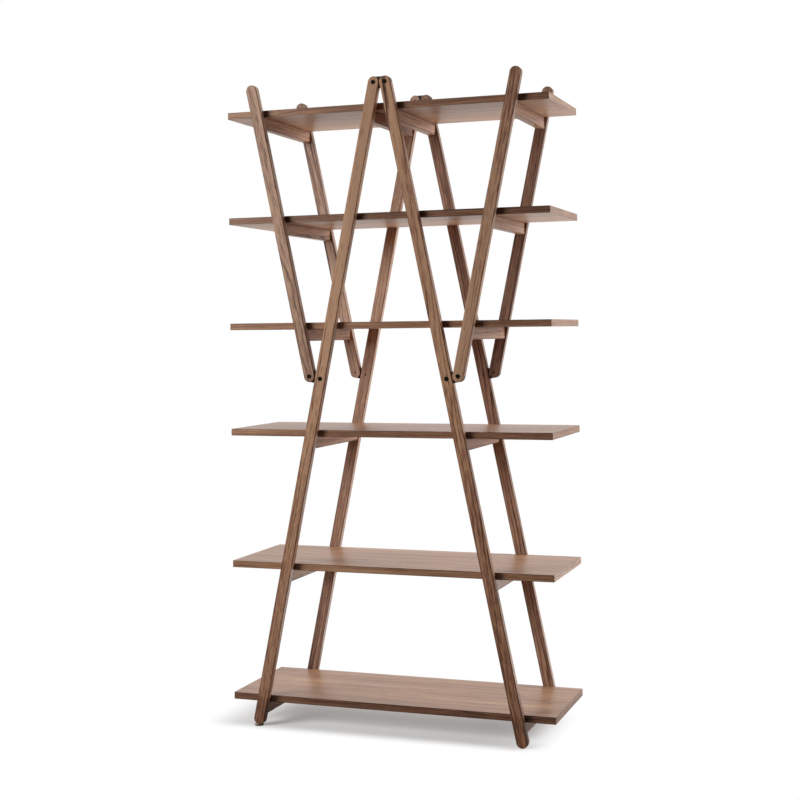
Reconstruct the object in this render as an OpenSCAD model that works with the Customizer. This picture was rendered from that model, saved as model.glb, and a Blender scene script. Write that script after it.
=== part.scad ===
// Folding bookstand rack: six loose shelves lie on the rungs of four folding frames.
// Two tall frames hinge together at the apex, and a shorter arm frame hinges on each of them.
// +X runs along the shelves, +Y to the back and +Z up. The origin is on the floor, in the middle.

/* [Shelves] */
// Length of each shelf
shelf_length = 1000; // [920:10:1200]
// Depth of each shelf, front to back
shelf_depth = 347; // [250:2:450]
// Thickness of each shelf
shelf_thickness = 20; // [15:1:25]
// Radius of a shelf's upright corners
shelf_corner_radius = 2; // [1:0.5:6]
// Height of the lowest shelf's upper face above the floor
first_shelf_height = 89; // [80:1:130]
// Height from one shelf to the next, over the lower three shelves
lower_pitch = 400; // [330:5:400]
// Height from one shelf to the next, over the upper shelves
upper_pitch = 320; // [260:5:320]

/* [Legs and arms] */
// Width of a leg or an arm, seen from the front
leg_width = 34; // [30:1:44]
// Thickness of a leg or an arm, front to back
leg_thickness = 22; // [20:1:32]
// Radius on the long edges of a leg or an arm
leg_edge_radius = 2.5; // [1:0.25:4]
// Height of the apex pins above the top shelf's upper face
apex_rise = 58; // [50:1:120]
// Distance from a shelf's end in to the centre of a round foot
foot_inset = 93; // [60:1:150]
// Height of the pins that hold the side links in the tall legs, above the third shelf's upper face
side_link_rise = 153; // [110:1:190]
// Distance from a shelf's end in to the centre of an arm's round upper end
arm_inset = 90.6; // [60:0.2:150]
// Gap between two members that lie side by side when folded
folded_gap = 1.5; // [1:0.25:4]
// Gap between a shelf's edge and the legs before and behind it
shelf_gap = 3; // [1:0.5:8]

/* [Rungs] */
// Height of a rung
rung_height = 35; // [28:1:42]
// Thickness of a rung
rung_thickness = 22; // [16:1:24]
// Diameter of the dowels that join a rung to its legs
dowel_diameter = 8; // [6:1:10]
// Distance between the two dowels in a rung's end
dowel_pitch = 18; // [12:1:20]
// Depth of a dowel in the leg
dowel_leg_depth = 13; // [8:1:16]
// Depth of a dowel in the rung
dowel_rung_depth = 22; // [15:1:40]

/* [Hinge links] */
// Thickness of a link plate
link_thickness = 8; // [6:1:10]
// How much narrower a link's round end is than a leg's, in radius
link_setback = 0.5; // [0.25:0.25:2]
// Wood left between a side link's socket and the leg's far edge
socket_wall = 6; // [4:1:8]
// Clearance on each side of a link in its slot
slot_clearance = 0.2; // [0.1:0.05:0.5]
// How far a slot's round end passes the member's own round end, in radius
slot_overrun = 0.7; // [0.3:0.1:1.5]

/* [Hinge bolts] */
// Diameter of a bolt's head
bolt_head_diameter = 13; // [11:0.2:14]
// Height of a bolt's head
bolt_head_height = 3; // [2.5:0.5:4]
// How far a head stands out of the wood
bolt_head_stand = 1; // [0.5:0.25:2]
// Diameter of the smooth shank that the link turns on
bolt_shank_diameter = 8; // [6:0.5:9]
// Diameter of the bolt's tip, which is screwed into the inner cheek
bolt_tip_diameter = 6; // [4:0.5:6.5]
// How far the bolt's tip stops short of the inner face
bolt_tip_recess = 1; // [1:0.5:3]
// Width of the hexagonal socket in a head, across its corners
bolt_socket_width = 5.8; // [4.5:0.1:7]
// Depth of that socket
bolt_socket_depth = 2; // [1.5:0.25:2]
// Radial clearance between a shank and the link's bore
bore_clearance = 0.05; // [0.02:0.01:0.1]
// Radial clearance around a head in its recess
head_clearance = 0.25; // [0.1:0.05:0.5]

/* [Foot glide] */
// Diameter of the glide's disc
glide_diameter = 28; // [24:1:34]
// Thickness of the steel disc
glide_disc_thickness = 1.5; // [1:0.5:3]
// Thickness of the pad under the disc
glide_pad_thickness = 2.5; // [2:0.5:5]
// How much smaller the pad is than the disc, in radius
glide_pad_inset = 0.5; // [0.25:0.25:2]
// Diameter of the glide's threaded stud
stud_diameter = 6; // [5:0.5:8]
// Length of that stud above the disc
stud_length = 24; // [18:1:30]
// Outer diameter of the threaded insert in the foot
insert_diameter = 10; // [9:0.5:13]
// Length of that insert
insert_length = 15; // [12:1:20]
// Gap between the disc and the foot when the glide is screwed right in
glide_gap = 0.3; // [0.2:0.1:1]

/* [Hidden] */
$fn = 96;
left = -1;
right = 1;
front = -1;
back = 1;
overcut = 1;
leg_color = [0.53, 0.39, 0.31];
shelf_color = [0.60, 0.47, 0.39];
link_color = [0.06, 0.06, 0.06];
bolt_color = [0.16, 0.14, 0.13];
steel_color = [0.50, 0.42, 0.31];
dowel_color = [0.80, 0.66, 0.48];

leg_radius = leg_width / 2;
pin_pitch = leg_width + folded_gap;
leg_plane = shelf_depth / 2 + shelf_gap + leg_thickness / 2;
rung_length = shelf_depth + 2 * shelf_gap;
apex_x = pin_pitch / 2;
foot_x = shelf_length / 2 - foot_inset;
arm_top_x = shelf_length / 2 - arm_inset;
apex_height = shelf_height(6) + apex_rise;
side_link_height = shelf_height(3) + side_link_rise;
leg_tilt = atan((foot_x - apex_x) / (apex_height - leg_radius));
leg_length = (apex_height - leg_radius) / cos(leg_tilt);
side_link_drop = (apex_height - side_link_height) / cos(leg_tilt);
side_link_x = leg_axis_x(side_link_height);
arm_pin_x = side_link_x + pin_pitch * cos(leg_tilt);
arm_pin_z = side_link_height + pin_pitch * sin(leg_tilt);
arm_tilt = atan((arm_top_x - arm_pin_x) / (apex_height - arm_pin_z));
arm_length = (apex_height - arm_pin_z) / cos(arm_tilt);
link_radius = leg_radius - link_setback;
slot_width = link_thickness + 2 * slot_clearance;
slot_radius = leg_radius + slot_overrun;
socket_depth = leg_width - socket_wall;
shank_start = -leg_thickness / 2 - bolt_head_stand + bolt_head_height;
glide_height = glide_disc_thickness + glide_pad_thickness;
glide_foot_raise = glide_height + glide_gap;
glide_foot_lift = glide_foot_raise / cos(leg_tilt);
glide_x = leg_axis_x(0);
glide_offset = glide_x - leg_axis_x(leg_radius + glide_foot_raise);
insert_base = glide_foot_raise + leg_radius
    - sqrt(pow(leg_radius, 2) - pow(glide_offset + insert_diameter / 2, 2));
stud_hole_top = glide_height + stud_length + overcut;

// Shelf numbers whose rungs belong to the tall legs and to the arms.
leg_rung_shelves = [1, 2, 3, 6];
arm_rung_shelves = [4, 5, 6];

// Height of a shelf's upper face and of the rung faces under it.
function shelf_height(shelf) =
    first_shelf_height + min(shelf - 1, 2) * lower_pitch + max(shelf - 3, 0) * upper_pitch;
function rung_top(shelf) = shelf_height(shelf) - shelf_thickness;
function rung_middle(shelf) = rung_top(shelf) - rung_height / 2;

// Distance of the right-hand leg's and arm's centre line from the middle, at a height.
function leg_axis_x(height) = apex_x + (apex_height - height) * tan(leg_tilt);
function arm_axis_x(height) = arm_pin_x + (height - arm_pin_z) * tan(arm_tilt);

// Distance of a rung's middle from the rack's middle: on the centre line of its leg or arm.
function rung_x(shelf, shelves) =
    shelves == arm_rung_shelves ? arm_axis_x(rung_middle(shelf)) : leg_axis_x(rung_middle(shelf));

// Every pair is drawn on the right and at the front, then mirrored into place.
module on_side(side) mirror([side == left ? 1 : 0, 0, 0]) children();
module on_row(row) mirror([0, row == back ? 1 : 0, 0]) children();

// Frames whose Z axis runs along the member, with the named pin at the origin.
module at_apex_pin() translate([apex_x, -leg_plane, apex_height]) rotate([0, -leg_tilt, 0]) children();
module at_side_pin() at_apex_pin() translate([0, 0, -side_link_drop]) children();
module at_arm_pin() translate([arm_pin_x, -leg_plane, arm_pin_z]) rotate([0, arm_tilt, 0]) children();

// Rectangle centred on the origin, with round corners.
module round_rectangle(width, height, radius) {
    square([width - 2 * radius, height], center = true);
    square([width, height - 2 * radius], center = true);
    for (x = [-1, 1], y = [-1, 1])
        translate([x * (width / 2 - radius), y * (height / 2 - radius)]) circle(r = radius);
}

// Disc with round edges, standing on its rim, that closes a member's end.
module member_end() {
    rotate([90, 0, 0]) rotate_extrude() intersection() {
        round_rectangle(leg_width, leg_thickness, leg_edge_radius);
        translate([0, -leg_thickness]) square([leg_width, 2 * leg_thickness]);
    }
}

// Straight member with round ends, from the origin down to the given length.
module member(length) {
    translate([0, 0, -length]) linear_extrude(length)
        round_rectangle(leg_width, leg_thickness, leg_edge_radius);
    member_end();
    translate([0, 0, -length]) member_end();
}

// Cylinder along Y, centred on the origin or starting there.
module rod(diameter, length, center = false) {
    rotate([-90, 0, 0]) cylinder(d = diameter, h = length, center = center);
}

// Recess, shank hole and tip hole for one hinge bolt.
module bolt_hole() {
    translate([0, -leg_thickness / 2 - overcut, 0])
        rod(bolt_head_diameter + 2 * head_clearance, shank_start + leg_thickness / 2 + overcut);
    translate([0, shank_start, 0]) rod(bolt_shank_diameter, slot_width / 2 - shank_start);
    rod(bolt_tip_diameter, leg_thickness / 2 + overcut);
}

// Slot in a member's end for a link that turns there. The link leaves towards -X.
// way is 1 where the member runs up from the pin, and -1 where it runs down.
module turning_slot(way) {
    rod(2 * slot_radius, slot_width, center = true);
    translate([-leg_radius - overcut, -slot_width / 2, way > 0 ? 0 : -slot_radius])
        cube([leg_radius + overcut, slot_width, slot_radius]);
    translate([-leg_radius - overcut, -slot_width / 2, way > 0 ? -leg_radius - overcut : 0])
        cube([leg_width + 2 * overcut, slot_width, leg_radius + overcut]);
}

// Socket in a tall leg for the square end of a side link, open towards +X.
module link_socket() {
    translate([leg_radius - socket_depth, -link_thickness / 2, -link_radius])
        cube([socket_depth + overcut, link_thickness, 2 * link_radius]);
}

// Holes for both dowels of a rung, from the leg's inner face.
module dowel_pair(x, shelf, depth, start) {
    for (step = [-1, 1])
        translate([x, start, rung_middle(shelf) + step * dowel_pitch / 2]) rod(dowel_diameter, depth);
}

// Holes in a leg's or an arm's inner face, at each of its rungs.
module leg_dowel_holes(shelves) {
    for (shelf = shelves)
        dowel_pair(rung_x(shelf, shelves), shelf, dowel_leg_depth, -rung_length / 2 - dowel_leg_depth);
}

module shelf(number) {
    color(shelf_color)
        translate([0, 0, shelf_height(number) - shelf_thickness]) linear_extrude(shelf_thickness)
            round_rectangle(shelf_length, shelf_depth, shelf_corner_radius);
}

// A tall leg. The left front one is shorter, and holds the insert of the glide.
module tall_leg(side, row) {
    lift = side == left && row == front ? glide_foot_lift : 0;
    color(leg_color) on_side(side) on_row(row) difference() {
        at_apex_pin() member(leg_length - lift);
        at_apex_pin() turning_slot(-1);
        at_apex_pin() bolt_hole();
        at_side_pin() link_socket();
        at_side_pin() bolt_hole();
        leg_dowel_holes(leg_rung_shelves);
        if (lift > 0) glide_holes();
    }
}

// Upright holes for the insert and the stud, in the right-hand frame like the leg itself.
module glide_holes() {
    translate([glide_x, -leg_plane, 0]) {
        translate([0, 0, glide_foot_raise - overcut])
            cylinder(d = insert_diameter, h = insert_base + insert_length - glide_foot_raise + overcut);
        cylinder(d = stud_diameter + 2 * bore_clearance, h = stud_hole_top);
    }
}

module arm(side, row) {
    color(leg_color) on_side(side) on_row(row) difference() {
        at_arm_pin() translate([0, 0, arm_length]) member(arm_length);
        at_arm_pin() turning_slot(1);
        at_arm_pin() bolt_hole();
        leg_dowel_holes(arm_rung_shelves);
    }
}

// A rung reaches from the front member to the back one, and carries a shelf.
module rung(side, shelf, shelves) {
    x = rung_x(shelf, shelves);
    color(leg_color) on_side(side) difference() {
        translate([x - rung_thickness / 2, -rung_length / 2, rung_top(shelf) - rung_height])
            cube([rung_thickness, rung_length, rung_height]);
        for (row = [front, back])
            on_row(row) dowel_pair(x, shelf, dowel_rung_depth, -rung_length / 2);
    }
}

// Plate with two round ends, that the two tall legs of a row turn on.
module apex_link(row) {
    color(link_color) on_row(row) translate([0, -leg_plane, apex_height]) difference() {
        union() {
            cube([pin_pitch, link_thickness, 2 * link_radius], center = true);
            for (x = [-1, 1])
                translate([x * apex_x, 0, 0]) rod(2 * link_radius, link_thickness, center = true);
        }
        for (x = [-1, 1]) translate([x * apex_x, 0, 0]) link_bore();
    }
}

// Plate with a square end in the tall leg's socket and a round end that the arm turns on.
module side_link(side, row) {
    color(link_color) on_side(side) on_row(row) at_side_pin() difference() {
        union() {
            translate([leg_radius - socket_depth, -link_thickness / 2, -link_radius])
                cube([pin_pitch - leg_radius + socket_depth, link_thickness, 2 * link_radius]);
            translate([pin_pitch, 0, 0]) rod(2 * link_radius, link_thickness, center = true);
        }
        for (x = [0, pin_pitch]) translate([x, 0, 0]) link_bore();
    }
}

// Bore in a link plate for a bolt's shank.
module link_bore() {
    rod(bolt_shank_diameter + 2 * bore_clearance, link_thickness + 2 * overcut, center = true);
}

// Hinge bolt: a low head in its recess, a smooth shank and a thinner tip.
module bolt() {
    tip_end = leg_thickness / 2 - bolt_tip_recess;
    difference() {
        translate([0, -leg_thickness / 2 - bolt_head_stand, 0])
            rod(bolt_head_diameter, bolt_head_height);
        translate([0, -leg_thickness / 2 - bolt_head_stand - overcut, 0])
            rotate([-90, 0, 0])
                cylinder(d = bolt_socket_width, h = bolt_socket_depth + overcut, $fn = 6);
    }
    translate([0, shank_start, 0]) rod(bolt_shank_diameter, slot_width / 2 - shank_start);
    translate([0, slot_width / 2, 0]) rod(bolt_tip_diameter, tip_end - slot_width / 2);
}

module leg_bolts(side) {
    color(bolt_color) on_side(side) for (row = [front, back]) on_row(row) {
        at_apex_pin() bolt();
        at_side_pin() bolt();
    }
}

module arm_bolts(side) {
    color(bolt_color) on_side(side) for (row = [front, back]) on_row(row) at_arm_pin() bolt();
}

// All dowels of one frame, each half in a leg and half in a rung.
module dowels(side, shelves) {
    color(dowel_color) on_side(side) for (row = [front, back], shelf = shelves)
        on_row(row) dowel_pair(rung_x(shelf, shelves), shelf, dowel_leg_depth + dowel_rung_depth,
            -rung_length / 2 - dowel_leg_depth);
}

// Places a piece of the glide on the left front foot's upright axis.
module at_glide(height) on_side(left) translate([glide_x, -leg_plane, height]) children();

// Threaded sleeve in the end of the foot.
module foot_insert() {
    color(steel_color) at_glide(insert_base) difference() {
        cylinder(d = insert_diameter, h = insert_length);
        translate([0, 0, -overcut])
            cylinder(d = stud_diameter + 2 * bore_clearance, h = insert_length + 2 * overcut);
    }
}

// Steel disc on a stud that screws up into the foot.
module foot_glide() {
    color(steel_color) at_glide(glide_pad_thickness) {
        cylinder(d = glide_diameter, h = glide_disc_thickness);
        cylinder(d = stud_diameter, h = glide_disc_thickness + stud_length);
    }
}

// Pad under the disc, which stands on the floor.
module foot_glide_pad() {
    color(link_color) at_glide(0)
        cylinder(d = glide_diameter - 2 * glide_pad_inset, h = glide_pad_thickness);
}

shelf(1);  // shelf_1
shelf(2);  // shelf_2
shelf(3);  // shelf_3
shelf(4);  // shelf_4
shelf(5);  // shelf_5
shelf(6);  // shelf_6
tall_leg(left, front);  // left_front_leg
tall_leg(left, back);  // left_back_leg
tall_leg(right, front);  // right_front_leg
tall_leg(right, back);  // right_back_leg
arm(left, front);  // left_front_arm
arm(left, back);  // left_back_arm
arm(right, front);  // right_front_arm
arm(right, back);  // right_back_arm
rung(left, 1, leg_rung_shelves);  // left_leg_rung_1
rung(left, 2, leg_rung_shelves);  // left_leg_rung_2
rung(left, 3, leg_rung_shelves);  // left_leg_rung_3
rung(left, 6, leg_rung_shelves);  // left_leg_rung_6
rung(right, 1, leg_rung_shelves);  // right_leg_rung_1
rung(right, 2, leg_rung_shelves);  // right_leg_rung_2
rung(right, 3, leg_rung_shelves);  // right_leg_rung_3
rung(right, 6, leg_rung_shelves);  // right_leg_rung_6
rung(left, 4, arm_rung_shelves);  // left_arm_rung_4
rung(left, 5, arm_rung_shelves);  // left_arm_rung_5
rung(left, 6, arm_rung_shelves);  // left_arm_rung_6
rung(right, 4, arm_rung_shelves);  // right_arm_rung_4
rung(right, 5, arm_rung_shelves);  // right_arm_rung_5
rung(right, 6, arm_rung_shelves);  // right_arm_rung_6
apex_link(front);  // apex_front_link
apex_link(back);  // apex_back_link
side_link(left, front);  // left_front_link
side_link(left, back);  // left_back_link
side_link(right, front);  // right_front_link
side_link(right, back);  // right_back_link
leg_bolts(left);  // left_leg_bolts
leg_bolts(right);  // right_leg_bolts
arm_bolts(left);  // left_arm_bolts
arm_bolts(right);  // right_arm_bolts
dowels(left, leg_rung_shelves);  // left_leg_dowels
dowels(right, leg_rung_shelves);  // right_leg_dowels
dowels(left, arm_rung_shelves);  // left_arm_dowels
dowels(right, arm_rung_shelves);  // right_arm_dowels
foot_insert();
foot_glide();
foot_glide_pad();
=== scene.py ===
"""Looks of the folding bookstand rack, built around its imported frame. Lengths are in metres."""

import math
import random

import bpy
from mathutils import Euler, Matrix, Vector


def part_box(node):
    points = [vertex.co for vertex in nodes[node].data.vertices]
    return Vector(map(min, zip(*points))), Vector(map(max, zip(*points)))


MM = 0.001
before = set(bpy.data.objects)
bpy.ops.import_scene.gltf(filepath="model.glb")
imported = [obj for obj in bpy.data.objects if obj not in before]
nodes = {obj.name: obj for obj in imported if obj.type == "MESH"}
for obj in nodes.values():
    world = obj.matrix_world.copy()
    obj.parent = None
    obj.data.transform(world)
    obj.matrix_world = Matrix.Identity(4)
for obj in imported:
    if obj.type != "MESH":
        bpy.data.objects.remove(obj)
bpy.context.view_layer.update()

# The photograph's camera. The angles are in radians.
CAMERA_PLACE = (1.46763, -4.15834, 1.17927)
CAMERA_YAW = -0.342212
CAMERA_ROLL = 0.011419
FOCAL_PIXELS = 1451.71
HORIZON_ROW = 331.49
IMAGE_PIXELS = 800
SENSOR_MM = 36

# How far legs and arms lean from upright, in radians.
LEG_TILT = math.radians(11.6375)
ARM_TILT = math.radians(11.7692)

# Half sizes along a piece's own width, depth and length. A member's length only has to be enough.
MEMBER_HALF = (17 * MM, 11 * MM, 1.0)
RUNG_HALF = (11 * MM, 17.5 * MM, 176.5 * MM)
BOARD_HALF = (10 * MM, 173.5 * MM, 500 * MM)
STAVE = 50 * MM

# How wide the painted shade along an eased corner is on a member or rung and on a shelf, and what
# it adds to the tone.
CORNER_MEMBER = 3.0 * MM
CORNER_SHELF = 1.6 * MM
CORNER_SHADE_TONE = -0.40
# How far in from a board's side the looks of that side begin, and where they are at full strength.
SIDE_START = 1.6 * MM
SIDE_FULL = 1.0 * MM

# Gloss of the lacquer: a board's broad upper face, every other face, and the coat on top.
FACE_SPECULAR = 0.40
PLAIN_SPECULAR = 0.20
BOARD_COAT = 0.12
MEMBER_COAT = 0.03
COAT_ROUGHNESS = 0.24
BOARD_HUE = 0.504
PLAIN_HUE = 0.5

# How strong the short streaks in the grain are.
FRONT_DASHES = 0.60
BACK_DASHES = 0.30
RUNG_DASHES = 0.20
BOARD_DASHES = 0.14
# How strong the figure of rungs and boards is, how many rings they have per metre, and how far
# their sharp edges are rounded.
RUNG_FIGURE = 0.60
RUNG_RINGS = 180
RUNG_EASE = 0.8 * MM
BOARD_FIGURE = 0.50
BOARD_RINGS = 190
BOARD_EASE = 1.0 * MM

# One piece of timber each: where its pith lies across it in mm, its tone, partly its own and partly
# painted light and shade, how much lighter it gets per metre, a painted gradient of light and
# shade, how strong its figure is, how many rings it has per metre, how strong its color is, lowered
# on the back pieces as painted sheen, and how far its tree leans from it.
LEGS = {
    "left_front_leg": ((70, 18), 0.34, 0.28, 0.60, 120, 1.00, 0.012),
    "right_front_leg": ((38, 46), 0.265, 0.25, 0.95, 110, 1.02, -0.045),
    "left_back_leg": ((55, 30), 0.15, 0.24, 0.75, 130, 0.83, 0.02),
    "right_back_leg": ((-42, 46), 0.08, -0.07, 1.00, 120, 0.86, -0.02),
    "left_front_arm": ((34, 60), 0.245, 0.35, 0.60, 130, 0.87, 0.03),
    "right_front_arm": ((-52, 30), 0.37, -0.43, 0.90, 120, 0.97, 0.025),
    "left_back_arm": ((44, -50), 0.23, -0.44, 0.75, 150, 0.76, -0.01),
    "right_back_arm": ((60, 22), -0.02, 0.34, 0.75, 140, 0.83, 0.015),
}
# Painted shade on the foot of a front leg, below the bottom shelf: what it adds to the leg's tone,
# and the heights from the leg's middle between which that fades out.
FOOT_FADE = (-0.902, -0.888)
FOOT_SHADE = {"left_front_leg": -0.36, "right_front_leg": -0.10}
# What each shelf's long edges and its ends add to its tone, their own darker edging with painted
# shade in it, and how much tone the long edges lose from their middle to the right, and gain to the
# left, partly a painted fall-off of light.
SHELVES = {
    1: (-0.45, -0.33, 0.0),
    2: (-0.10, -0.14, 0.08),
    3: (-0.24, -0.12, 0.16),
    4: (-0.13, -0.12, 0.11),
    5: (-0.33, -0.27, 0.03),
    6: (-0.27, -0.12, 0.15),
}


class Graph:
    """Adds nodes to a node tree and links them, so that a material reads as one expression."""

    def __init__(self, tree):
        self.tree = tree

    def add(self, kind, inputs=None, **properties):
        node = self.tree.nodes.new(kind)
        for name, value in properties.items():
            setattr(node, name, value)
        for key, value in (inputs or {}).items():
            self.set(node, key, value)
        return node

    def set(self, node, key, value):
        if isinstance(value, bpy.types.NodeSocket):
            self.tree.links.new(value, node.inputs[key])
        else:
            node.inputs[key].default_value = value

    def math(self, operation, *values):
        inputs = dict(enumerate(values))
        return self.add("ShaderNodeMath", inputs, operation=operation).outputs[0]

    def noise(self, vector, scale, detail=2.0, roughness=0.5, distortion=0.0):
        """Grey noise from 0 to 1. scale holds the cycles per metre along each axis."""
        place = self.add(
            "ShaderNodeVectorMath", {0: vector, 1: scale}, operation="MULTIPLY"
        ).outputs[0]
        values = {
            "Vector": place,
            "Scale": 1.0,
            "Detail": detail,
            "Roughness": roughness,
            "Distortion": distortion,
        }
        return self.add("ShaderNodeTexNoise", values).outputs["Fac"]

    def steps(self, value, low, high, out_low=0.0, out_high=1.0):
        """value, mapped from one range to another and held inside it."""
        inputs = {0: value, 1: low, 2: high, 3: out_low, 4: out_high}
        return self.add("ShaderNodeMapRange", inputs).outputs[0]

    def ramp(self, value, stops):
        node = self.add("ShaderNodeValToRGB", {0: value})
        band = node.color_ramp.elements
        while len(band) < len(stops):
            band.new(0.5)
        for element, (place, color) in zip(band, stops):
            element.position = place
            element.color = (*color, 1.0)
        return node.outputs[0]

    def mix(self, factor, a, b, blend="MIX"):
        node = self.add("ShaderNodeMix", data_type="RGBA", blend_type=blend)
        for socket, value in ((node.inputs[0], factor), (node.inputs[6], a), (node.inputs[7], b)):
            if isinstance(value, bpy.types.NodeSocket):
                self.tree.links.new(value, socket)
            elif socket.type == "RGBA":
                socket.default_value = (*value, 1.0)
            else:
                socket.default_value = value
        return node.outputs[2]


def walnut_group():
    """Solid walnut. The grain runs along Z, and the tree's centre is the Z axis."""
    tree = bpy.data.node_groups.new("walnut", "ShaderNodeTree")
    face = tree.interface
    face.new_socket("Vector", in_out="INPUT", socket_type="NodeSocketVector")
    for name in ("Tone", "Figure", "Rings", "Dashes"):
        face.new_socket(name, in_out="INPUT", socket_type="NodeSocketFloat")
    face.new_socket("Color", in_out="OUTPUT", socket_type="NodeSocketColor")
    face.new_socket("Roughness", in_out="OUTPUT", socket_type="NodeSocketFloat")
    face.new_socket("Height", in_out="OUTPUT", socket_type="NodeSocketFloat")
    g = Graph(tree)
    given = g.add("NodeGroupInput").outputs
    place = given["Vector"]

    # Rings, bent by slow waves along the trunk and by smaller ones on top.
    flat = g.add("ShaderNodeVectorMath", {0: place, 1: (1, 1, 0)}, operation="MULTIPLY")
    bent = g.add(
        "ShaderNodeVectorMath", {0: flat.outputs[0]}, operation="LENGTH"
    ).outputs["Value"]
    for scale, swing in (((8, 8, 1.9), 0.040), ((24, 24, 6.0), 0.011), ((90, 90, 16), 0.0018)):
        bent = g.math("ADD", bent, g.math("MULTIPLY", g.noise(place, scale), swing))
    turns = g.math("MULTIPLY", bent, given["Rings"])
    ring = g.math("FRACT", turns)
    late = g.math("MULTIPLY", g.steps(ring, 0.50, 0.92), g.steps(ring, 1.0, 0.94))
    year = g.add("ShaderNodeTexWhiteNoise", {"W": g.math("FLOOR", turns)}, noise_dimensions="1D")
    late = g.math("MULTIPLY", late, g.steps(year.outputs[0], 0.2, 1.0, 0.05, 1.0))
    faint = g.noise(place, (30.0, 30.0, 4.0), detail=2.0)
    late = g.math("MULTIPLY", late, g.steps(faint, 0.35, 0.62, 0.35, 1.0))

    # Long fibres, short pores and slow drifts of tone.
    fibre = g.noise(place, (620.0, 620.0, 9.0), detail=3.0, roughness=0.6)
    thread = g.noise(place, (180.0, 180.0, 4.0), detail=2.0)
    pore = g.noise(place, (1500.0, 1500.0, 65.0), detail=1.0)
    pores = g.steps(pore, 0.66, 0.74)
    drift = g.noise(place, (36.0, 36.0, 2.5), detail=2.0)
    fleck = g.steps(g.noise(place, (170.0, 170.0, 10.0), detail=3.0, roughness=0.62), 0.55, 0.70)
    streak = g.steps(g.noise(place, (70.0, 70.0, 1.5), detail=3.0, roughness=0.62), 0.53, 0.66)
    dash = g.noise(place, (150.0, 150.0, 26.0), detail=3.0, roughness=0.6)
    dash = g.math("MULTIPLY", g.steps(dash, 0.3, 0.7, -0.5, 0.5), given["Dashes"])

    depth = g.math("MULTIPLY", late, g.math("MULTIPLY", given["Figure"], 1.3))
    depth = g.math("ADD", depth, g.steps(drift, 0.3, 0.7, -0.08, 0.08))
    depth = g.math("ADD", depth, g.math("MULTIPLY", streak, 0.22))
    depth = g.math("ADD", depth, g.math("MULTIPLY", fleck, 0.16))
    depth = g.math("ADD", depth, dash)
    depth = g.math("ADD", depth, g.steps(fibre, 0.25, 0.75, -0.13, 0.13))
    depth = g.math("ADD", depth, g.steps(thread, 0.3, 0.7, -0.12, 0.12))
    depth = g.math("ADD", depth, g.math("SUBTRACT", 0.295, given["Tone"]))
    color = g.ramp(
        depth,
        [
            (0.0, (0.575, 0.337, 0.205)),
            (0.20, (0.425, 0.222, 0.131)),
            (0.45, (0.265, 0.124, 0.071)),
            (0.72, (0.132, 0.056, 0.033)),
            (1.0, (0.052, 0.020, 0.013)),
        ],
    )
    warm = g.noise(place, (30.0, 30.0, 1.5), detail=1.0)
    color = g.mix(g.steps(warm, 0.40, 0.62, 0.0, 0.30), color, (0.30, 0.142, 0.092))
    color = g.mix(g.math("MULTIPLY", pores, 0.45), color, (0.045, 0.022, 0.015))

    given_out = g.add("NodeGroupOutput").inputs
    tree.links.new(color, given_out["Color"])
    rough = g.math("ADD", g.steps(fibre, 0.2, 0.8, 0.36, 0.48), g.math("MULTIPLY", pores, 0.2))
    tree.links.new(rough, given_out["Roughness"])
    relief = g.math("ADD", g.math("MULTIPLY", fibre, 0.35), g.math("MULTIPLY", late, -0.15))
    relief = g.math("SUBTRACT", relief, g.math("MULTIPLY", pores, 0.8))
    tree.links.new(relief, given_out["Height"])
    return tree


walnut = walnut_group()


def new_material(name):
    material = bpy.data.materials.new(name)
    material.use_nodes = True
    tree = material.node_tree
    tree.nodes.clear()
    g = Graph(tree)
    shader = g.add("ShaderNodeBsdfPrincipled")
    output = g.add("ShaderNodeOutputMaterial")
    tree.links.new(shader.outputs[0], output.inputs[0])
    place = g.add("ShaderNodeTexCoord").outputs["Object"]
    return material, g, shader, place


def link(g, source, shader, name):
    g.tree.links.new(source, shader.inputs[name])


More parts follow.
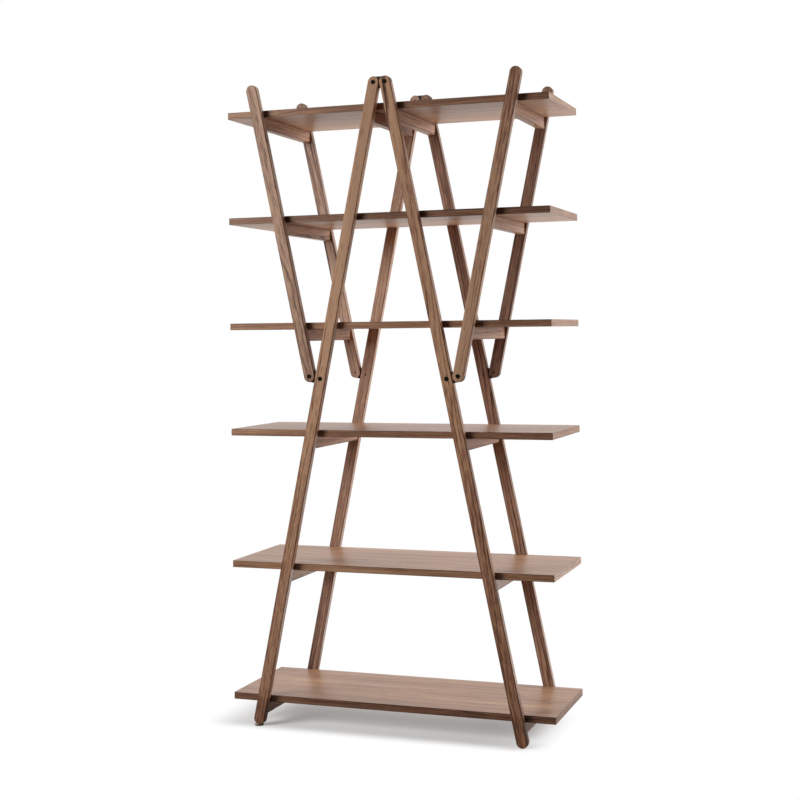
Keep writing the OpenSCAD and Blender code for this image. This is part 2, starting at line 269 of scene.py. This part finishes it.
def wood(
    name, half, turn, pith, start, tone, figure, rings, dashes, painted_light_slope=0.0, lean=0.0, chroma=1.0,
    board=None,
):
    """Walnut whose grain follows a piece. turn takes the piece's length to Z, half is half its size
    along its own axes, pith is where the tree's centre lies from the piece's own centre, and start
    is how far along the tree the piece was cut. dashes is how strong the short streaks are,
    painted_light_slope how much lighter the tone gets per metre of length, a painted gradient of
    light and shade, lean how far the tree leans from the piece, and chroma how strong the color is.
    A board is glued up from staves. It holds what its long edges and its ends add to the tone,
    their own darker edging with painted shade in it, and how much tone the edges lose towards the
    right, partly a painted fall-off of light."""
    material, g, shader, place = new_material(name)
    low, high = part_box(name)
    move = -(Euler(turn).to_matrix() @ ((low + high) / 2))
    piece = g.add("ShaderNodeMapping", {"Vector": place, "Location": move, "Rotation": turn})
    axes = g.add("ShaderNodeSeparateXYZ", {0: piece.outputs[0]}).outputs
    # The tone, with a painted gradient of light and shade along the piece.
    tone = g.steps(axes["Z"], -1, 1, tone - painted_light_slope, tone + painted_light_slope)
    # Painted shade on the foot of a front leg.
    if name in FOOT_SHADE:
        tone = g.math("ADD", tone, g.steps(axes["Z"], *FOOT_FADE, FOOT_SHADE[name], 0.0))
    tree = {"Vector": piece.outputs[0], "Location": (*pith, start), "Rotation": (0, lean, 0)}
    grain = g.add("ShaderNodeMapping", tree).outputs[0]

    def near(along, side, begin, full):
        """Rises from 0 to 1 towards a side, between two distances in from it."""
        return g.steps(along, side - begin, side - full)

    # Painted shade along the eased corners, where two sides are near at once.
    soft = CORNER_SHELF if board else CORNER_MEMBER
    out = [g.math("ABSOLUTE", axes[axis]) for axis in "XYZ"]
    across = near(out[1], half[1], soft, soft / 2)
    corner_shade = g.math("MULTIPLY", near(out[0], half[0], soft, soft / 2), across)
    if board:
        edge, end, fall = board
        at_end = near(out[2], half[2], soft, soft / 2)
        corner_shade = g.math("MAXIMUM", corner_shade, g.math("MULTIPLY", across, at_end))
        rim = near(out[1], half[1], SIDE_START, SIDE_FULL)
        butt = near(out[2], half[2], SIDE_START, SIDE_FULL)
        stave = g.math("FLOOR", g.math("ADD", g.math("DIVIDE", axes["Y"], STAVE), start))
        drawn = g.add("ShaderNodeTexWhiteNoise", {"W": stave}, noise_dimensions="1D").outputs
        shift = g.add(
            "ShaderNodeVectorMath", {0: drawn["Color"], 1: (0.06, 0.02, 4.0)}, operation="MULTIPLY"
        )
        # The ends are edged with a strip of veneer, whose grain runs across the board.
        turned = g.add("ShaderNodeSeparateXYZ", {0: grain}).outputs
        turned = g.add("ShaderNodeCombineXYZ", {0: turned["X"], 1: turned["Z"], 2: turned["Y"]})
        grain = g.add("ShaderNodeVectorMath", {0: grain, 1: shift.outputs[0]}, operation="ADD")
        grain = g.mix(butt, grain.outputs[0], turned.outputs[0])
        figure = g.steps(butt, 0.0, 1.0, figure, 0.0)
        tone = g.math("ADD", tone, g.steps(drawn["Value"], 0.0, 1.0, -0.04, 0.04))
        # The long edges' own darker edging, with painted shade and a painted fall-off of light to
        # the right.
        edge = g.steps(axes["Z"], -half[2], half[2], edge + fall, edge - fall)
        tone = g.math("ADD", tone, g.math("MULTIPLY", rim, edge))
        tone = g.math("ADD", tone, g.math("MULTIPLY", butt, end))
        under = near(axes["X"], half[0], SIDE_START, SIDE_FULL)
        plain = g.math("MAXIMUM", g.math("MAXIMUM", rim, butt), under)
        gloss = g.steps(plain, 0.0, 1.0, FACE_SPECULAR, PLAIN_SPECULAR)
        link(g, gloss, shader, "Specular IOR Level")
    # Painted shade along the eased corners darkens the tone there.
    tone = g.math("ADD", tone, g.math("MULTIPLY", corner_shade, CORNER_SHADE_TONE))
    values = {"Vector": grain, "Tone": tone, "Figure": figure, "Rings": rings, "Dashes": dashes}
    made = g.add("ShaderNodeGroup", None, node_tree=walnut)
    for key, value in values.items():
        g.set(made, key, value)
    color = {
        "Color": made.outputs["Color"],
        "Saturation": chroma,
        "Hue": BOARD_HUE if board else PLAIN_HUE,
    }
    link(g, g.add("ShaderNodeHueSaturation", color).outputs[0], shader, "Base Color")
    link(g, made.outputs["Roughness"], shader, "Roughness")
    relief = {"Height": made.outputs["Height"], "Strength": 0.25, "Distance": 0.15 * MM}
    link(g, g.add("ShaderNodeBump", relief).outputs[0], shader, "Normal")
    shader.inputs["Specular IOR Level"].default_value = PLAIN_SPECULAR
    shader.inputs["Coat Weight"].default_value = BOARD_COAT if board else MEMBER_COAT
    shader.inputs["Coat Roughness"].default_value = COAT_ROUGHNESS
    return material


def plastic():
    """Black nylon of the link plates, with a fine moulded grain and paler rubbed patches."""
    material, g, shader, place = new_material("link_nylon")
    grain = g.noise(place, (1400.0, 1400.0, 1400.0), detail=2.0)
    rubbed = g.steps(g.noise(place, (70.0, 70.0, 70.0), detail=3.0), 0.5, 0.75)
    link(g, g.mix(rubbed, (0.006, 0.006, 0.006), (0.016, 0.015, 0.014)), shader, "Base Color")
    link(g, g.steps(grain, 0.2, 0.8, 0.42, 0.58), shader, "Roughness")
    bump = g.add("ShaderNodeBump", {"Height": grain, "Strength": 0.2, "Distance": 0.1 * MM})
    link(g, bump.outputs[0], shader, "Normal")
    return material


def pad_plastic():
    """Black pad under the glide, scuffed and dusty from the floor."""
    material, g, shader, place = new_material("glide_pad")
    scuff = g.noise(place, (380.0, 380.0, 900.0), detail=4.0, roughness=0.7)
    dust = g.steps(scuff, 0.5, 0.8, 0.0, 0.7)
    link(g, g.mix(dust, (0.016, 0.015, 0.014), (0.075, 0.068, 0.060)), shader, "Base Color")
    link(g, g.steps(scuff, 0.3, 0.7, 0.55, 0.8), shader, "Roughness")
    bump = g.add("ShaderNodeBump", {"Height": scuff, "Strength": 0.3, "Distance": 0.15 * MM})
    link(g, bump.outputs[0], shader, "Normal")
    return material


def metal(name, dark, light, low, high, stretch):
    """Metal whose fine marks run round the axis along which stretch is small."""
    material, g, shader, place = new_material(name)
    marks = g.noise(place, stretch, detail=3.0, roughness=0.6)
    cloud = g.noise(place, (120.0, 120.0, 120.0), detail=2.0)
    link(g, g.mix(g.steps(cloud, 0.35, 0.65), dark, light), shader, "Base Color")
    link(g, g.steps(marks, 0.25, 0.75, low, high), shader, "Roughness")
    bump = g.add("ShaderNodeBump", {"Height": marks, "Strength": 0.15, "Distance": 0.05 * MM})
    link(g, bump.outputs[0], shader, "Normal")
    shader.inputs["Metallic"].default_value = 1.0
    return material


def beech():
    """Pale wood of the dowels, grain along their length, front to back."""
    material, g, shader, place = new_material("dowel_beech")
    fleck = g.noise(place, (700.0, 60.0, 700.0), detail=3.0)
    band = g.noise(place, (150.0, 8.0, 150.0), detail=2.0)
    color = g.mix(g.steps(band, 0.3, 0.7), (0.54, 0.37, 0.21), (0.66, 0.48, 0.30))
    color = g.mix(g.steps(fleck, 0.62, 0.72, 0.0, 0.6), color, (0.36, 0.21, 0.11))
    link(g, color, shader, "Base Color")
    link(g, g.steps(fleck, 0.3, 0.7, 0.5, 0.65), shader, "Roughness")
    return material


def dress(name, material):
    data = nodes[name].data
    data.materials.clear()
    data.materials.append(material)


def ease(name, width):
    """Rounds a piece's sharp edges, once its split vertices are joined."""
    piece = nodes[name]
    weld = piece.modifiers.new("join", "WELD")
    weld.merge_threshold = 0.001 * MM
    bevel = piece.modifiers.new("ease", "BEVEL")
    bevel.width = width
    bevel.segments = 3
    bevel.limit_method = "ANGLE"
    bevel.angle_limit = math.radians(50)
    bevel.harden_normals = True


chance = random.Random(5)
for name, (pith, tone, painted_light_slope, figure, rings, chroma, lean) in LEGS.items():
    side = -1 if name.startswith("left") else 1
    tilt = side * LEG_TILT if name.endswith("leg") else -side * ARM_TILT
    across = (pith[0] * MM, pith[1] * MM)
    start = chance.uniform(2, 9)
    dashes = FRONT_DASHES if "front" in name else BACK_DASHES
    looks = (across, start, tone, figure, rings, dashes, painted_light_slope, lean, chroma)
    dress(name, wood(name, MEMBER_HALF, (0, tilt, 0), *looks))

for name in sorted(n for n in nodes if "_rung_" in n):
    across = (chance.uniform(30, 90) * MM, chance.uniform(-70, 70) * MM)
    start = chance.uniform(2, 9)
    tone = chance.uniform(0.12, 0.18)
    looks = (across, start, tone, RUNG_FIGURE, RUNG_RINGS, RUNG_DASHES)
    dress(name, wood(name, RUNG_HALF, (math.pi / 2, 0, 0), *looks))
    ease(name, RUNG_EASE)

for number, board in SHELVES.items():
    name = f"shelf_{number}"
    across = (chance.uniform(70, 120) * MM, chance.uniform(-120, 120) * MM)
    start = chance.uniform(2, 9)
    tone = chance.uniform(0.17, 0.21)
    looks = (across, start, tone, BOARD_FIGURE, BOARD_RINGS, BOARD_DASHES)
    dress(name, wood(name, BOARD_HALF, (0, -math.pi / 2, 0), *looks, board=board))
    ease(name, BOARD_EASE)

nylon = plastic()
pad = pad_plastic()
black_steel = metal(
    "bolt_steel", (0.008, 0.006, 0.004), (0.018, 0.014, 0.010), 0.42, 0.60, (900, 60, 900)
)
# The glide's steel is tinted brown: a painted reflection of the walnut around it.
painted_reflection_glide_metal = metal("glide_steel", (0.26, 0.18, 0.10), (0.42, 0.31, 0.19), 0.20, 0.36, (700, 700, 90))
pale_wood = beech()
for name in nodes:
    if name.endswith("link"):
        dress(name, nylon)
    elif name.endswith("bolts"):
        dress(name, black_steel)
    elif name.endswith("dowels"):
        dress(name, pale_wood)
    elif name == "foot_glide_pad":
        dress(name, pad)
    elif name in ("foot_glide", "foot_insert"):
        dress(name, painted_reflection_glide_metal)


# Name, place, what it is aimed at, size in metres, watts and color of each soft lamp.
LAMPS = (
    ("front_left_box", (-3.6, -3.6, 2.4), (-0.2, 0, 1.1), (2.3, 2.0), 210, (1.0, 0.98, 0.95)),
    ("right_box", (3.78, 2.52, 2.25), (0, 0, 1.3), (2.5, 2.8), 125, (1.0, 0.99, 0.97)),
    ("low_box", (0, 1.5, 0.03), (0, 1.5, 2), (3.0, 2.0), 38, (1.0, 0.93, 0.84)),
)
FLOOR_LIFT = 0.28
SHADE_MIDDLE = (-0.055, 0, 0)
SHADE_HALF = (0.425, 0.165, 1)
SHADE_FADE = (0.13, 0.085, 1)
WORLD_FRONT = 0.0
WORLD_BACK = 1.0
SHINE_FRONT = 0.08


def studio_floor():
    """Pale floor that fades to plain white away from the rack, and keeps its shadow near it."""
    mesh = bpy.data.meshes.new("floor")
    reach = 7.0
    below = -0.2 * MM
    corners = [(x, y, below) for x, y in ((-1, -1), (1, -1), (1, 1), (-1, 1))]
    mesh.from_pydata([(x * reach, y * reach, z) for x, y, z in corners], [], [(0, 1, 2, 3)])
    floor = bpy.data.objects.new("floor", mesh)
    bpy.context.scene.collection.objects.link(floor)
    material = bpy.data.materials.new("floor")
    material.use_nodes = True
    tree = material.node_tree
    tree.nodes.clear()
    g = Graph(tree)
    seen = g.add("ShaderNodeLightPath").outputs
    place = g.add("ShaderNodeTexCoord").outputs["Object"]
    behind = g.add("ShaderNodeSeparateXYZ", {0: place}).outputs["Y"]
    shine = g.math("MULTIPLY", g.steps(behind, -0.8, 0.2, 0.2, 0.55), seen["Is Glossy Ray"])
    straight = g.math("MAXIMUM", seen["Is Camera Ray"], shine)
    bounce = g.ramp(g.steps(behind, -0.5, 0.5), [(0, (0.15, 0.15, 0.15)), (1, (0.85, 0.85, 0.85))])
    pale = g.mix(straight, bounce, (0.80, 0.82, 0.84))
    matte = g.add("ShaderNodeBsdfDiffuse", {"Color": pale}).outputs[0]
    lift = g.math("MULTIPLY", straight, FLOOR_LIFT)
    glow = g.add("ShaderNodeEmission", {"Color": (1, 1, 1, 1), "Strength": lift}).outputs[0]
    near = g.add("ShaderNodeAddShader", {0: matte, 1: glow}).outputs[0]
    white = g.add("ShaderNodeEmission", {"Color": (1, 1, 1, 1), "Strength": 1.0}).outputs[0]

    # Distance outwards from the part of the floor that keeps its full shadow.
    spot = g.add("ShaderNodeVectorMath", {0: place, 1: SHADE_MIDDLE}, operation="SUBTRACT")
    out = g.add("ShaderNodeVectorMath", {0: spot.outputs[0]}, operation="ABSOLUTE")
    out = g.add("ShaderNodeVectorMath", {0: out.outputs[0], 1: SHADE_HALF}, operation="SUBTRACT")
    out = g.add("ShaderNodeVectorMath", {0: out.outputs[0], 1: (0, 0, 0)}, operation="MAXIMUM")
    out = g.add("ShaderNodeVectorMath", {0: out.outputs[0], 1: SHADE_FADE}, operation="DIVIDE")
    away = g.add("ShaderNodeVectorMath", {0: out.outputs[0]}, operation="LENGTH").outputs["Value"]
    away = g.add("ShaderNodeMapRange", {0: away}, interpolation_type="SMOOTHSTEP").outputs[0]
    fade = g.math("MULTIPLY", away, straight)
    mixed = g.add("ShaderNodeMixShader", {0: fade, 1: near, 2: white}).outputs[0]
    output = g.add("ShaderNodeOutputMaterial")
    tree.links.new(mixed, output.inputs[0])
    mesh.materials.append(material)


def studio_world():
    """White to the camera. It lights the rack more from behind than from in front."""
    world = bpy.data.worlds.new("studio")
    bpy.context.scene.world = world
    world.use_nodes = True
    tree = world.node_tree
    tree.nodes.clear()
    g = Graph(tree)
    toward = g.add("ShaderNodeTexCoord").outputs["Generated"]
    back = g.add("ShaderNodeSeparateXYZ", {0: toward}).outputs["Y"]
    seen = g.add("ShaderNodeLightPath").outputs
    soft = g.steps(back, 0.0, 0.5, WORLD_FRONT, WORLD_BACK)
    shine = g.math("MULTIPLY", g.steps(back, -0.25, 0.2, SHINE_FRONT, 1.0), seen["Is Glossy Ray"])
    strength = g.math("MAXIMUM", soft, shine)
    plain = g.math("MAXIMUM", seen["Is Camera Ray"], seen["Is Transmission Ray"])
    strength = g.math("MAXIMUM", strength, plain)
    light = {"Color": (1, 1, 1, 1), "Strength": strength}
    light = g.add("ShaderNodeBackground", light).outputs[0]
    output = g.add("ShaderNodeOutputWorld")
    tree.links.new(light, output.inputs[0])


def softbox(name, place, target, size, watts, color):
    lamp = bpy.data.lights.new(name, "AREA")
    lamp.shape = "RECTANGLE"
    lamp.size, lamp.size_y = size
    lamp.energy = watts
    lamp.color = color
    box = bpy.data.objects.new(name, lamp)
    bpy.context.scene.collection.objects.link(box)
    box.location = place
    aim = Vector(target) - Vector(place)
    box.rotation_euler = aim.to_track_quat("-Z", "Y").to_euler()
    box.visible_camera = False


def photo_camera():
    data = bpy.data.cameras.new("camera")
    data.sensor_width = SENSOR_MM
    data.lens = FOCAL_PIXELS / IMAGE_PIXELS * SENSOR_MM
    data.shift_y = HORIZON_ROW / IMAGE_PIXELS - 0.5
    data.clip_end = 50
    camera = bpy.data.objects.new("camera", data)
    bpy.context.scene.collection.objects.link(camera)
    level = Matrix.Rotation(-CAMERA_YAW, 4, "Z") @ Matrix.Rotation(math.pi / 2, 4, "X")
    camera.matrix_world = (
        Matrix.Translation(CAMERA_PLACE) @ level @ Matrix.Rotation(-CAMERA_ROLL, 4, "Z")
    )
    bpy.context.scene.camera = camera


studio_floor()
studio_world()
for lamp in LAMPS:
    softbox(*lamp)
photo_camera()

bpy.context.scene.view_settings.view_transform = "Standard"
